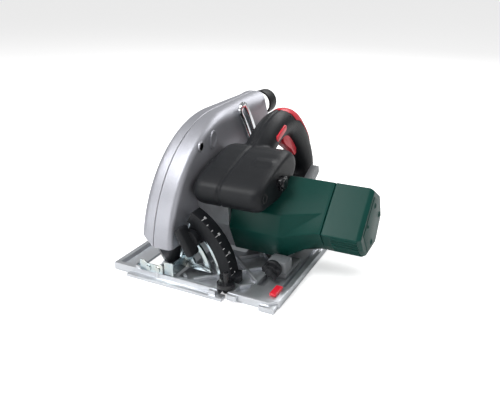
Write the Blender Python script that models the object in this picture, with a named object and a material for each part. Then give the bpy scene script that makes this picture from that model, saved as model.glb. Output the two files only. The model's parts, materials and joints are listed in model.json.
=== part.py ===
"""Hand-held circular saw for 235 mm blades, as an assembly of separate parts.

Frame: metres, +Z up.  The origin is on the base plate's sole, where the line of cut crosses
the plate's front edge.  The cutting direction is -Y, the blade lies in the plane X = 0 and
the motor points to +X.

Shapes are drawn in millimetres with y = 0 at the blade's axis.  MM turns them into metres
where meshes are made, and the empty that every part hangs on puts the front edge at Y = 0.
"""
import math

import bmesh
import bpy
from mathutils import Matrix, Vector

MM = 0.001
GAP = 0.3                      # running gap between neighbouring parts

# Driving dimensions ------------------------------------------------------------------------
BLADE_R = 117.5                # 235 mm blade
BLADE_HALF = 1.2               # half the blade's thickness
SPINDLE = (0.0, 32.5)          # blade axis (y, z): 85 mm of blade below the sole
MOTOR = (-16.0, 61.0)          # armature axis (y, z)

BASE_X = (-51.7, 142.9)
BASE_Y = (-130.0, 190.0)
BASE_PLATE_T = 3.0
BASE_RIM_Z = 8.4
BASE_RIM_W = 5.0

GUARD_C = (10.0, 20.0)         # centre of the upper guard's rim (y, z)
GUARD_R = 137.5
GUARD_REAR_R = 127.0           # rear rim, around the blade axis
GUARD_BOTTOM_Z = 36.6
GUARD_X = (-17.0, 22.0)
GUARD_WALL = 2.5
SPOUT_TOP = (110.0, 161.0)
SPOUT_LOW = (120.0, 122.0)
SPOUT_REAR_ANGLE = 46.0        # where the spout leaves the rear rim, around the blade axis

STOP_SCREWS = ((-21.0, -124.8), (5.0, -126.1))
FENCE_SCREW = (119.0, 20.0)    # (x, z) of the guide clamp's screw
BEVEL_AXIS = (0.0, 1.8)        # (x, z) of the tilt axis, along Y
QUADRANT_R = 69.0
QUADRANT_SLOT_R = 61.0
QUADRANT_Y = (-105.6, -102.6)
SCALE_R = (71.0, 84.0)
SCALE_Y = (-109.4, -93.6)
CLAMP_ANGLE = 50.0

DEPTH_PIVOT = (-100.0, 34.0)   # (y, z) of the depth hinge, along X
CHEEK_X = (22.6, 25.4)
STRIP_R = 178.0
STRIP_W = 20.0
STRIP_X = (22.8, 25.8)

HANDLE_X = 60.0                # handle's parting plane
GRIP_R = 16.5
NECK_X = (22.3, 59.7)
MOTOR_X = (60.0, 158.0)
MOTOR_TAPER_X = (118.0, 152.0)    # where the wide front narrows to the fan end
CAP_X = (158.3, 200.0)

LOWER_R = (119.4, 121.4)
LOWER_X = (-12.0, 14.0)
LOWER_SPAN = (-163.0, -17.0)   # degrees around the blade axis

WHEEL_TEETH = 34
PINION_TEETH = 9
GEAR_X = (31.0, 40.0)

# outlines (y, z) and centre points of the castings and mouldings
NECK = [(-72, 74), (-70, 51), (-56, 20), (-36, 10), (-22, 2.4), (22, 2.4), (36, 18), (40, 44), (22, 78),
        (-14, 96), (-40, 88), (-66, 82)]
FRONT_SECTION = [(-64, 71), (-71, 49), (-57, 19), (-28, 15), (14, 18), (30, 48), (18, 80), (-13, 97)]
REAR_SECTION = [(-41, 70), (-57, 54.5), (-44, 37), (-28, 24), (13, 24), (30, 52), (17, 80), (-12, 96.5)]
HANDLE_LINE = [(-30, 86), (-8, 107), (16, 123), (46, 133.5), (79, 131), (107, 110), (127.5, 84), (138, 58),
               (128, 38), (104, 31), (70, 34), (50, 40)]
BARREL = [(-88, 79), (-94, 88), (-93, 98), (-82, 106), (-55, 115.5), (-17, 124), (4, 117), (8, 102), (-8, 86),
          (-34, 78)]
BARREL_C = (-48, 98)
BARREL_SCALES = ((27.8, 0.72), (31, 0.88), (38, 1), (94, 1), (102, 0.9), (106.5, 0.7))
PORT_AXIS = (2.0, 141.5)
TRIGGER_PIVOT = (61.0, 126.0)
LOCK_CENTRE = (-44.0, 98.5)
GLAND = (60.0, 40.0)
TRIGGER = [(58, 121), (64, 130), (84, 119), (103, 101), (103, 86), (98, 84), (86, 95), (70, 104), (60, 112)]
TRIGGER_SPACE = [(55.5, 108), (55.5, 127), (63, 136), (88, 124), (112, 102), (109, 80), (90, 80), (60, 100)]

PARTS = None
CUTTERS = None


# Scene and materials -----------------------------------------------------------------------
def reset_scene():
    """Empty the scene and make the two collections."""
    global PARTS, CUTTERS
    for item in list(bpy.data.objects):
        bpy.data.objects.remove(item, do_unlink=True)
    PARTS = bpy.data.collections.new("circular_saw")
    CUTTERS = bpy.data.collections.new("cutters")
    bpy.context.scene.collection.children.link(PARTS)
    bpy.context.scene.collection.children.link(CUTTERS)


FINISHES = {
    "cast_aluminium": ((0.52, 0.53, 0.55), 0.38, 0.9),
    "guard_paint": ((0.50, 0.50, 0.54), 0.36, 0.7),
    "zinc": ((0.55, 0.60, 0.63), 0.25, 1.0),
    "steel": ((0.60, 0.60, 0.60), 0.30, 1.0),
    "black_plastic": ((0.02, 0.02, 0.022), 0.45, 0.0),
    "green_plastic": ((0.01, 0.055, 0.045), 0.42, 0.0),
    "red_plastic": ((0.55, 0.01, 0.015), 0.40, 0.0),
    "grey_plastic": ((0.25, 0.26, 0.28), 0.45, 0.0),
    "copper": ((0.70, 0.30, 0.16), 0.35, 1.0),
    "carbon": ((0.03, 0.03, 0.03), 0.70, 0.0),
}


def finish(name):
    """The Principled material of one finish, made once."""
    if name in bpy.data.materials:
        return bpy.data.materials[name]
    colour, rough, metal = FINISHES[name]
    material = bpy.data.materials.new(name)
    material.use_nodes = True
    shader = material.node_tree.nodes["Principled BSDF"]
    shader.inputs["Base Color"].default_value = (*colour, 1.0)
    shader.inputs["Roughness"].default_value = rough
    shader.inputs["Metallic"].default_value = metal
    return material


# Shape helpers -----------------------------------------------------------------------------
AXES = {
    "X": Matrix(((0, 0, 1), (1, 0, 0), (0, 1, 0))),     # local x, y, z -> Y, Z, X
    "Y": Matrix(((1, 0, 0), (0, 0, -1), (0, 1, 0))),    # local x, y, z -> X, Z, -Y
    "Z": Matrix(((1, 0, 0), (0, 1, 0), (0, 0, 1))),
}


def add_object(name, mesh, look):
    """Put a mesh in the scene; look None makes it a cutter."""
    item = bpy.data.objects.new(name, mesh)
    if look is None:
        CUTTERS.objects.link(item)
        item.hide_render = True
        item.display_type = "WIRE"
        return item
    PARTS.objects.link(item)
    mesh.materials.clear()
    mesh.materials.append(finish(look))
    mesh.shade_smooth()
    mesh.set_sharp_from_angle(angle=math.radians(35))
    return item


def from_bmesh(name, bm, look):
    """Turn a bmesh in millimetres into an object in metres."""
    bmesh.ops.recalc_face_normals(bm, faces=bm.faces)
    bmesh.ops.scale(bm, vec=(MM, MM, MM), verts=bm.verts)
    mesh = bpy.data.meshes.new(name)
    bm.to_mesh(mesh)
    bm.free()
    return add_object(name, mesh, look)


def box(name, low, high, look=None, bevel=0.0, segments=1):
    """A box between two corners, with its edges rounded by bevel."""
    bm = bmesh.new()
    bmesh.ops.create_cube(bm, size=1.0)
    low, high = Vector(low), Vector(high)
    bmesh.ops.scale(bm, vec=high - low, verts=bm.verts)
    bmesh.ops.translate(bm, vec=(low + high) / 2, verts=bm.verts)
    if bevel:
        bmesh.ops.bevel(bm, geom=bm.edges, offset=bevel, segments=segments, profile=0.5,
                        affect="EDGES", material=-1)
    return from_bmesh(name, bm, look)


def rod(name, axis, centre, radius, start, end, look=None, sides=32, tip=None):
    """A cylinder or cone along an axis; centre is the two other coordinates in order."""
    bm = bmesh.new()
    bmesh.ops.create_cone(bm, cap_ends=True, segments=sides, radius1=radius,
                          radius2=radius if tip is None else tip, depth=end - start)
    bmesh.ops.translate(bm, vec=(0, 0, (start + end) / 2), verts=bm.verts)
    if axis == "Y":            # keep "start" at the lower Y
        bmesh.ops.transform(bm, matrix=Matrix.Rotation(math.radians(-90), 4, "X"), verts=bm.verts)
        bmesh.ops.translate(bm, vec=(centre[0], 0, centre[1]), verts=bm.verts)
    elif axis == "X":
        bmesh.ops.transform(bm, matrix=Matrix.Rotation(math.radians(90), 4, "Y"), verts=bm.verts)
        bmesh.ops.translate(bm, vec=(0, centre[0], centre[1]), verts=bm.verts)
    else:
        bmesh.ops.translate(bm, vec=(centre[0], centre[1], 0), verts=bm.verts)
    return from_bmesh(name, bm, look)


def mesh_from_curve(name, curve, placement, look):
    """Evaluate a curve, weld its caps and keep only the mesh."""
    holder = bpy.data.objects.new(name + "_curve", curve)
    CUTTERS.objects.link(holder)
    holder.matrix_world = placement
    bpy.context.view_layer.update()
    ready = holder.evaluated_get(bpy.context.evaluated_depsgraph_get())
    mesh = bpy.data.meshes.new_from_object(ready)
    mesh.transform(holder.matrix_world)
    bpy.data.objects.remove(holder, do_unlink=True)
    bm = bmesh.new()
    bm.from_mesh(mesh)
    bmesh.ops.remove_doubles(bm, verts=bm.verts, dist=1e-5)
    bmesh.ops.recalc_face_normals(bm, faces=bm.faces)
    bm.to_mesh(mesh)
    bm.free()
    mesh.name = name
    return add_object(name, mesh, look)


def plate(name, axis, outlines, start, end, look=None):
    """A flat outline (first) with its holes (the rest), as thick as start to end along axis."""
    curve = bpy.data.curves.new(name, "CURVE")
    curve.dimensions = "2D"
    curve.fill_mode = "BOTH"
    curve.extrude = (end - start) / 2 * MM
    for outline in outlines:
        spline = curve.splines.new("POLY")
        spline.points.add(len(outline) - 1)
        for point, (u, v) in zip(spline.points, outline):
            point.co = (u * MM, v * MM, 0, 1)
        spline.use_cyclic_u = True
    placement = AXES[axis].to_4x4()
    middle = (start + end) / 2 * MM
    placement.translation = {"X": (middle, 0, 0), "Y": (0, middle, 0), "Z": (0, 0, middle)}[axis]
    return mesh_from_curve(name, curve, placement, look)


def tube(name, points, radius, look=None, resolution=3):
    """A round bar along a smooth line through points."""
    curve = bpy.data.curves.new(name, "CURVE")
    curve.dimensions = "3D"
    curve.bevel_depth = radius * MM
    curve.bevel_resolution = resolution
    curve.use_fill_caps = True
    spline = curve.splines.new("POLY")
    spline.points.add(len(points) - 1)
    for point, place in zip(spline.points, points):
        point.co = (*(Vector(place) * MM), 1)
    return mesh_from_curve(name, curve, Matrix.Identity(4), look)


def loft(name, sections, look=None):
    """A solid through equal-count outlines given as (x, [(y, z), ...])."""
    bm = bmesh.new()
    rings = [[bm.verts.new((x, y, z)) for y, z in outline] for x, outline in sections]
    for ring, following in zip(rings, rings[1:]):
        for k, vert in enumerate(ring):
            after = (k + 1) % len(ring)
            bm.faces.new((vert, ring[after], following[after], following[k]))
    bm.faces.new(rings[0])
    bm.faces.new(rings[-1])
    return from_bmesh(name, bm, look)


def boolean(target, tool, operation="DIFFERENCE"):
    """Cut target with tool, or join or intersect them, with an exact Boolean."""
    step = target.modifiers.new(operation.lower(), "BOOLEAN")
    step.operation = operation
    step.object = tool
    return target


def cut(target, *tools):
    """Take each tool away from target."""
    for tool in tools:
        boolean(target, tool)
    return target


def join(target, *tools):
    """Weld each tool onto target."""
    for tool in tools:
        boolean(target, tool, "UNION")
    return target


def arc(centre, radius, start, end, steps):
    """Points of an arc; angles in degrees from the first axis."""
    turns = [math.radians(start + (end - start) * k / steps) for k in range(steps + 1)]
    return [(centre[0] + radius * math.cos(a), centre[1] + radius * math.sin(a)) for a in turns]


def circle(centre, radius, steps=32):
    """A closed circle."""
    return arc(centre, radius, 0, 360, steps)[:-1]


def arc_slot(centre, radius, half_width, start, end, steps=14):
    """A slot that follows an arc, with round ends."""
    far = arc(centre, radius + half_width, start, end, steps)
    near = arc(centre, radius - half_width, end, start, steps)
    tip_end = arc(arc(centre, radius, end, end, 1)[0], half_width, end, end + 180, 6)[1:-1]
    tip_start = arc(arc(centre, radius, start, start, 1)[0], half_width, start + 180, start + 360, 6)[1:-1]
    return far + tip_end + near + tip_start


def gear_outline(centre, teeth, module, phase):
    """Spur gear outline with straight-sided teeth; a tooth is centred on phase."""
    tip, root = module * (teeth / 2 + 0.75), module * (teeth / 2 - 1.05)
    pitch = 360 / teeth
    points = []
    for k in range(teeth):
        middle = phase + k * pitch
        for offset, radius in ((-0.29, root), (-0.10, tip), (0.10, tip), (0.29, root)):
            points += arc(centre, radius, middle + offset * pitch, middle, 1)[:1]
    return points


def smooth_line(points, steps):
    """A Catmull-Rom line through (y, z) points, steps per span."""
    ends = [points[0]] + list(points) + [points[-1]]
    line = []
    for a, b, c, d in zip(ends, ends[1:], ends[2:], ends[3:]):
        for k in range(steps):
            t = k / steps
            line.append(tuple(
                0.5 * (2 * q + (r - p) * t + (2 * p - 5 * q + 4 * r - s) * t * t
                       + (3 * q - p - 3 * r + s) * t ** 3)
                for p, q, r, s in zip(a, b, c, d)))
    line.append(points[-1])
    return line


def offset_line(line, distance):
    """The line moved sideways, away from its left-hand side."""
    moved = []
    for k, (y, z) in enumerate(line):
        before, after = line[max(k - 1, 0)], line[min(k + 1, len(line) - 1)]
        step = Vector((after[0] - before[0], after[1] - before[1])).normalized()
        moved.append((y - step.y * distance, z + step.x * distance))
    return moved


# Base plate group --------------------------------------------------------------------------
def base_plate():
    """Die-cast plate with a raised rim, blade opening, guide rail and front lip."""
    x0, x1 = BASE_X
    y0, y1 = BASE_Y
    opening = [(-26.5, -121), (23, -121), (23, -36), (62, -36), (62, 46), (23, 46), (23, 122), (-26.5, 122)]
    outline = [(x0, y0), (78, y0), (78, y0 + 14), (90, y0 + 14), (90, y0), (x1 - 8, y0), (x1, y0 + 8),
               (x1, y1 - 10), (x1 - 10, y1), (x0 + 10, y1), (x0, y1 - 10)]
    holes = [opening, circle((102.6, -101), 5, 20)]
    body = plate("base_plate", "Z", [outline] + holes, 0, BASE_RIM_Z, "cast_aluminium")
    inner = [(x0 + BASE_RIM_W, y0 + BASE_RIM_W), (73, y0 + BASE_RIM_W), (73, y0 + 19), (95, y0 + 19),
             (95, y0 + BASE_RIM_W), (106, y0 + BASE_RIM_W), (106, y1 - BASE_RIM_W),
             (x0 + BASE_RIM_W, y1 - BASE_RIM_W)]
    cut(body, plate("base_recess", "Z", [inner], BASE_PLATE_T, 30))
    rail = box("base_rail_groove", (109, y0 + 26, BASE_PLATE_T), (118, y1 - 6, 30))
    track = box("base_outer_groove", (x1 - 9, y0 + 34, BASE_PLATE_T + 1), (x1 - 5, y1 - 12, 30))
    cut(body, rail, track)
    for x, y in STOP_SCREWS:
        join(body, rod("stop_boss", "Z", (x, y), 4.7, 1, 11.2, sides=24))
    for x, y in STOP_SCREWS:
        cut(body, rod("stop_thread", "Z", (x, y), 2.9, 4, 20, sides=20))
    lip = box("base_front_lip", (-30, y0 - 7, 0), (86, y0 + 2, 3.2))
    block = box("base_corner_block", (x1 - 17, y0 - 5, 0), (x1 - 1, y0 + 6, 5.5))
    ear = box("base_lug_left", (70, y0 - 4, 2), (77.5, y0 + 4, 7.5))
    other_ear = box("base_lug_right", (90.5, y0 - 4, 2), (101, y0 + 4, 7.5))
    join(body, lip, block, ear, other_ear)
    return body


def bevel_scale():
    """Black arc fixed to the base, with the arm that carries the bevel clamp."""
    band_out = arc(BEVEL_AXIS, SCALE_R[1], 6, 63, 22)
    band_in = arc(BEVEL_AXIS, SCALE_R[0], 63, 6, 22)
    body = plate("bevel_scale_arc", "Y", [band_out + band_in], *SCALE_Y, "black_plastic")
    clamp = arc(BEVEL_AXIS, QUADRANT_SLOT_R, CLAMP_ANGLE, CLAMP_ANGLE, 1)[0]
    arm = plate("scale_arm", "Y", [arc(BEVEL_AXIS, 76, 40, 61, 8) + arc(clamp, 9, 130, 320, 12)],
                SCALE_Y[0] + 0.2, QUADRANT_Y[0] - GAP)
    foot = box("scale_foot", (70, -111, BASE_PLATE_T + 0.3), (88, -94, 14.5))
    join(body, arm, foot)
    cut(body, rod("clamp_hole", "Y", clamp, 3.6, -130, -80, sides=24))
    return body


def base_parts():
    """Everything fixed to the base plate."""
    base_plate()
    bevel_scale()
    disc = rod("scale_foot_screw", "Z", (84, -122), 9.5, 9.4, 14, "black_plastic", 28)
    join(disc, rod("foot_stud", "Z", (84, -122), 2.6, 13.0, 25, sides=16),
         rod("foot_bolt", "Z", (84, -122), 3.5, 2.2, 10, sides=6))
    pocket = rod("foot_screw_hole", "Z", (84, -122), 5, -1, 9, sides=20)
    cut(bpy.data.objects["base_plate"], pocket)
    for name, (x, y) in zip(("left_stop_screw", "right_stop_screw"), STOP_SCREWS):
        screw = rod(name, "Z", (x, y), 2.6, 4.3, 10.4, "zinc", 20)
        cut(screw, rod(name + "_socket", "Z", (x, y), 1.3, 8.5, 14, sides=6))
    house = box("fence_clamp_housing", (109, -82, BASE_RIM_Z + GAP), (132, -40, 13.8), "grey_plastic", 1.5, 2)
    join(house, box("fence_block", (110, -81, 10), (131, -62, 26), None, 2, 2))
    cut(house, rod("fence_screw_hole", "Y", FENCE_SCREW, 3.4, -90, -60, sides=20))
    knob = rod("fence_clamp_knob", "Y", FENCE_SCREW, 6.2, -93, -82.5, "black_plastic", 24)
    x, z = FENCE_SCREW
    join(knob, box("fence_wing", (x - 10, -92, z - 3.2), (x + 10, -86, z + 3.2), None, 1.6, 2),
         rod("fence_screw", "Y", FENCE_SCREW, 3.0, -84, -64, sides=16))
    box("guide_lock_insert", (130, -119, BASE_RIM_Z + GAP), (137.5, -101, 12.2), "red_plastic", 1.0, 2)
    post = plate("rear_bevel_post", "Y", [[(20, 3.3), (58, 3.3), (58, 9), (50, 22), (34, 30), (20, 9)]],
                 158, 162, "zinc")
    cut(post, rod("rear_post_hole", "Y", (38, 18), 3.2, 150, 170, sides=20))


# Bevel frame -------------------------------------------------------------------------------
def quadrant():
    """Slotted zinc plate that tilts with the saw and slides under the clamp."""
    rim = arc(BEVEL_AXIS, QUADRANT_R, 6.5, 62, 18)
    foot = [(27, 50), (27, 45), (33, 40), (33, 23.4), (23.6, 23.4), (23.6, 9.8), (58, 9.4)]
    slot = arc_slot(BEVEL_AXIS, QUADRANT_SLOT_R, 4.0, 13, 52, 18)
    light = arc(BEVEL_AXIS, 51, 15, 36, 10) + arc(BEVEL_AXIS, 40, 30, 21, 4)
    body = plate("quadrant_plate", "Y", [rim + foot, slot, light], *QUADRANT_Y, "zinc")
    mouth = (arc(BEVEL_AXIS, QUADRANT_SLOT_R + 3.8, -4, 15, 5)
             + arc(BEVEL_AXIS, QUADRANT_SLOT_R - 3.8, 15, -4, 5))
    cut(body, plate("slot_mouth", "Y", [mouth], -110, -100))
    cheek_side = [(-129.6, 9.2), (-92, 9.2), (-92, 38), (-96, 42), (-104, 42), (-112, 24), (-129.6, 24)]
    cheek = plate("hinge_cheek", "X", [cheek_side, circle(DEPTH_PIVOT, 3.9, 20)], *CHEEK_X)
    front = box("hinge_front", (14, -129.2, 9.7), (CHEEK_X[1] - 0.7, -127, 23.5))
    return join(body, cheek, front)


def bevel_frame_parts():
    """Parts that tilt for bevel cuts but do not follow the depth setting."""
    quadrant()
    pin = rod("depth_pivot_pin", "X", DEPTH_PIVOT, 3.6, 16, CHEEK_X[1] + 1, "steel", 20)
    join(pin, rod("pivot_head", "X", DEPTH_PIVOT, 6.5, CHEEK_X[1] + GAP, CHEEK_X[1] + 4.5, sides=6))
    rear = plate("rear_bevel_plate", "Y", [[(22.8, 9), (48, 9), (48, 26), (40, 34), (22.8, 34)]],
                 153.5, 156.5, "zinc")
    cut(rear, rod("rear_plate_hole", "Y", (38, 18), 3.2, 140, 170, sides=20))
    depth_strip()
    bevel_clamp()


def bevel_clamp():
    """Clamp bolt with its wing knob, and the nut plate behind the quadrant."""
    clamp = arc(BEVEL_AXIS, QUADRANT_SLOT_R, CLAMP_ANGLE, CLAMP_ANGLE, 1)[0]
    knob = rod("bevel_wing_knob", "Y", clamp, 9.5, -118, SCALE_Y[0] - GAP, "black_plastic", 28)
    x, z = clamp
    wing = box("bevel_wing", (x - 4.5, -129, z - 15), (x + 4.5, -113, z + 17), None, 3, 2)
    turn = Matrix.Rotation(math.radians(-28), 4, "Y")
    hub = Vector((x, 0, z)) * MM
    wing.data.transform(Matrix.Translation(hub) @ turn @ Matrix.Translation(-hub))
    join(knob, wing)
    cut(knob, rod("knob_thread", "Y", clamp, 3.5, -121, -100, sides=20))
    bolt = rod("bevel_clamp_bolt", "Y", clamp, 3.2, -120, -97, "steel", 18)
    join(bolt, rod("bolt_nut", "Y", clamp, 6.5, QUADRANT_Y[1] + GAP, -98, sides=6))


def depth_strip():
    """Slotted arc strip, centred on the depth pivot, that guides the cutting depth."""
    half = STRIP_W / 2
    outline = (arc(DEPTH_PIVOT, STRIP_R + half, -8, 41.5, 20)
               + arc(arc(DEPTH_PIVOT, STRIP_R, 41.5, 41.5, 1)[0], half, 41.5, 221.5, 8)[1:-1]
               + arc(DEPTH_PIVOT, STRIP_R - half, 41.5, -8, 20))
    slot = arc_slot(DEPTH_PIVOT, STRIP_R, 3.6, 0.5, 41.5, 20)
    strip = plate("depth_strip", "X", [outline, slot], *STRIP_X, "zinc")
    bar = plate("strip_bar", "X", [[(62, 9), (153.2, 9), (153.2, 24), (90, 24), (62, 16)]], *STRIP_X)
    return join(strip, bar)


# Rotating parts ----------------------------------------------------------------------------
def saw_blade():
    """Carbide-tipped blade with a bore."""
    teeth = 24
    outline = []
    for k in range(teeth):
        start = 360 * k / teeth
        for offset, radius in ((0, BLADE_R), (2.6, BLADE_R - 1.8), (10.2, BLADE_R - 8), (12.6, BLADE_R - 10),
                               (14.4, BLADE_R - 7)):
            outline += arc(SPINDLE, radius, start + offset, 0, 1)[:1]
    return plate("saw_blade", "X", [outline, circle(SPINDLE, 10.3, 28)], -BLADE_HALF, BLADE_HALF, "steel")


def spindle_parts():
    """Spindle, gear wheel, flanges, blade and its bolt."""
    saw_blade()
    shaft = rod("spindle", "X", SPINDLE, 7.0, 5.4, 63, "steel", 24)
    join(shaft, rod("spindle_nose", "X", SPINDLE, 10.0, -1.0, 6, sides=28))
    cut(shaft, rod("spindle_thread", "X", SPINDLE, 4.3, -3, 18, sides=16))
    ring("inner_flange", SPINDLE, 21, 10.3, 1.5, 5.2, "steel")
    cut(rod("outer_flange", "X", SPINDLE, 21, -5.4, -1.5, "steel", 32),
        rod("outer_flange_hole", "X", SPINDLE, 4.3, -8, 2, sides=16))
    bolt = rod("blade_bolt", "X", SPINDLE, 3.9, -6.5, 15, "steel", 16)
    join(bolt, rod("bolt_washer", "X", SPINDLE, 9, -7.6, -5.7, sides=28),
         rod("bolt_head", "X", SPINDLE, 7.2, -11, -7.0, sides=6))
    module = 2 * math.dist(SPINDLE, MOTOR) / (WHEEL_TEETH + PINION_TEETH)
    line = math.degrees(math.atan2(MOTOR[1] - SPINDLE[1], MOTOR[0] - SPINDLE[0]))
    plate("gear_wheel", "X", [gear_outline(SPINDLE, WHEEL_TEETH, module, line), circle(SPINDLE, 7.3, 24)],
          *GEAR_X, "steel")
    return module, line


def ring(name, centre, outer, inner, start, end, look, sides=32):
    """A plain ring along X."""
    body = rod(name, "X", centre, outer, start, end, look, sides)
    return cut(body, rod(name + "_bore", "X", centre, inner, start - 2, end + 2, sides=sides))


def armature_parts(module, line):
    """Armature shaft with its pinion, laminated core, commutator and fan."""
    shaft = rod("armature_shaft", "X", MOTOR, 4.2, 41, 178, "steel", 20)
    half_tooth = 180 / PINION_TEETH
    pinion = plate("pinion", "X", [gear_outline(MOTOR, PINION_TEETH, module, line + 180 + half_tooth)],
                   GEAR_X[0] - 0.5, 42)
    join(shaft, pinion)
    ring("rotor_core", MOTOR, 18.2, 4.5, 89, 119, "steel")
    ring("commutator", MOTOR, 12.5, 4.5, 141, 155, "copper")
    fan = ring("cooling_fan", MOTOR, 9, 4.5, 72, 82, "grey_plastic", 24)
    for k in range(8):
        blade = box(f"fan_blade_{k}", (73, MOTOR[0] - 0.9, MOTOR[1] + 7), (81, MOTOR[0] + 0.9, MOTOR[1] + 26))
        turn = Matrix.Rotation(math.tau * k / 8, 4, "X")
        hub = Vector((0, MOTOR[0], MOTOR[1])) * MM
        blade.data.transform(Matrix.Translation(hub) @ turn @ Matrix.Translation(-hub))
        join(fan, blade)


# Saw head ----------------------------------------------------------------------------------
def guard_outline(inset, bottom):
    """Side outline of the upper guard with its chip spout, moved inward by inset."""
    rise = (bottom - GUARD_C[1]) / (GUARD_R - inset)
    front = 180 - math.degrees(math.asin(rise))
    rear_r = GUARD_REAR_R - inset
    rear_low = math.degrees(math.asin((bottom - SPINDLE[1]) / rear_r))
    points = arc(GUARD_C, GUARD_R - inset, front, 90, 26)
    points += [(SPOUT_TOP[0] + inset, SPOUT_TOP[1] - inset), (SPOUT_LOW[0] + inset, SPOUT_LOW[1] + inset)]
    points += arc(SPINDLE, rear_r, SPOUT_REAR_ANGLE + 1.3 * inset, rear_low, 10)
    return points


def upper_guard():
    """Inner guard housing and its bolted outer cover, open below and at the spout."""
    outer = guard_outline(0, GUARD_BOTTOM_Z)
    hollow = guard_outline(GUARD_WALL, GUARD_BOTTOM_Z - 12)
    house = plate("guard_housing", "X", [outer], 0.15, GUARD_X[1], "guard_paint")
    lug = [(-113, 44), (-110, 28), (-104, 24), (-96, 24), (-90, 28), (-87, 44)]
    cut(house, plate("housing_hollow", "X", [hollow], -5, GUARD_X[1] - 3))
    join(house, plate("pivot_lug", "X", [lug], GUARD_X[1] - 3.4, GUARD_X[1] - 0.2))
    cut(house,
        rod("housing_spindle_hole", "X", SPINDLE, 19, 10, 30, sides=32),
        rod("housing_pivot_hole", "X", DEPTH_PIVOT, 4.0, 10, 30, sides=20))
    cover = plate("guard_cover", "X", [outer], GUARD_X[0], -0.15, "guard_paint")
    cut(cover, plate("cover_hollow", "X", [hollow], GUARD_X[0] + 2.5, 5))
    relief = [[(-140, 30), (-102, 30), (-106, 37), (-126, 50), (-140, 50)],
              [(-140, 30), (-116, 30), (-120, 37), (-126, 39), (-140, 39)]]
    cut(cover, loft("cover_relief", [(GUARD_X[0] - 1, relief[0]), (-7.5, relief[1])]))
    bolt_hole = rod("housing_bolt_hole", "X", clamp_bolt_centre(), 3.6, 10, 30, sides=20)
    cut(house, bolt_hole)


def chip_port():
    """Black outlet sleeve behind the spout."""
    sleeve = rod("chip_port", "Y", PORT_AXIS, 17, 124.5, 146, "black_plastic", 32, tip=16)
    cut(sleeve, rod("chip_port_bore", "Y", PORT_AXIS, 14.5, 120, 150, sides=28))
    return sleeve


def about(centre, points, factor):
    """Points scaled about a centre."""
    return [(centre[0] + (y - centre[0]) * factor, centre[1] + (z - centre[1]) * factor) for y, z in points]


def lower_guard():
    """Swinging guard around the blade, pivoting on the gear case's nose."""
    first, last = LOWER_SPAN
    rim = arc(SPINDLE, LOWER_R[1], first, last, 40) + arc(SPINDLE, LOWER_R[0], last, first, 40)
    body = plate("lower_guard", "X", [rim], *LOWER_X, "zinc")
    middle = (LOWER_R[0] + LOWER_R[1]) / 2
    side = arc(SPINDLE, middle, first + 0.6, last - 0.6, 40) + arc(SPINDLE, 27, last + 10, 350 + first, 12)
    web = plate("lower_guard_web", "X", [side, circle(SPINDLE, 19.1, 36)], LOWER_X[1] - 2.3, LOWER_X[1] - 0.4)
    left = arc(SPINDLE, middle, first + 0.6, last - 0.6, 40) + arc(SPINDLE, 74, last, first, 24)
    flank = plate("lower_guard_flank", "X", [left], LOWER_X[0] + 0.4, LOWER_X[0] + 2.3)
    join(body, web, flank)
    turns, steps = 2, 12
    coil = []
    for k in range(turns * steps + 1):
        angle = math.tau * k / steps
        coil.append((15.2 + 3.0 * k / (turns * steps), SPINDLE[0] + 22 * math.cos(angle),
                     SPINDLE[1] + 22 * math.sin(angle)))
    tube("guard_return_spring", coil, 0.45, "steel", 1)


def gear_case():
    """Silver gear case between the guard and the motor."""
    body = plate("gear_case", "X", [NECK], *NECK_X, "cast_aluminium")
    cavity = about((-12, 48), NECK, 0.90)
    nose = rod("gear_case_nose", "X", SPINDLE, 18.7, 11, NECK_X[0] + 2, sides=40)
    join(body, nose)
    cut(body, plate("gear_case_cavity", "X", [cavity], NECK_X[0] + 7, 80),
        rod("wheel_chamber", "X", SPINDLE, 27.7, NECK_X[0] + 7.2, 75, sides=48),
        rod("spindle_bearing_seat", "X", SPINDLE, 13.2, 5, 40, sides=32))
    return body


def motor_sections(growth):
    """Lofted sections of the motor housing, scaled about the motor's axis."""
    front, rear = MOTOR_TAPER_X
    places = ((MOTOR_X[0], FRONT_SECTION), (front, FRONT_SECTION), (rear, REAR_SECTION),
              (MOTOR_X[1], REAR_SECTION))
    return [(x, about(MOTOR, section, growth)) for x, section in places]


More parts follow.
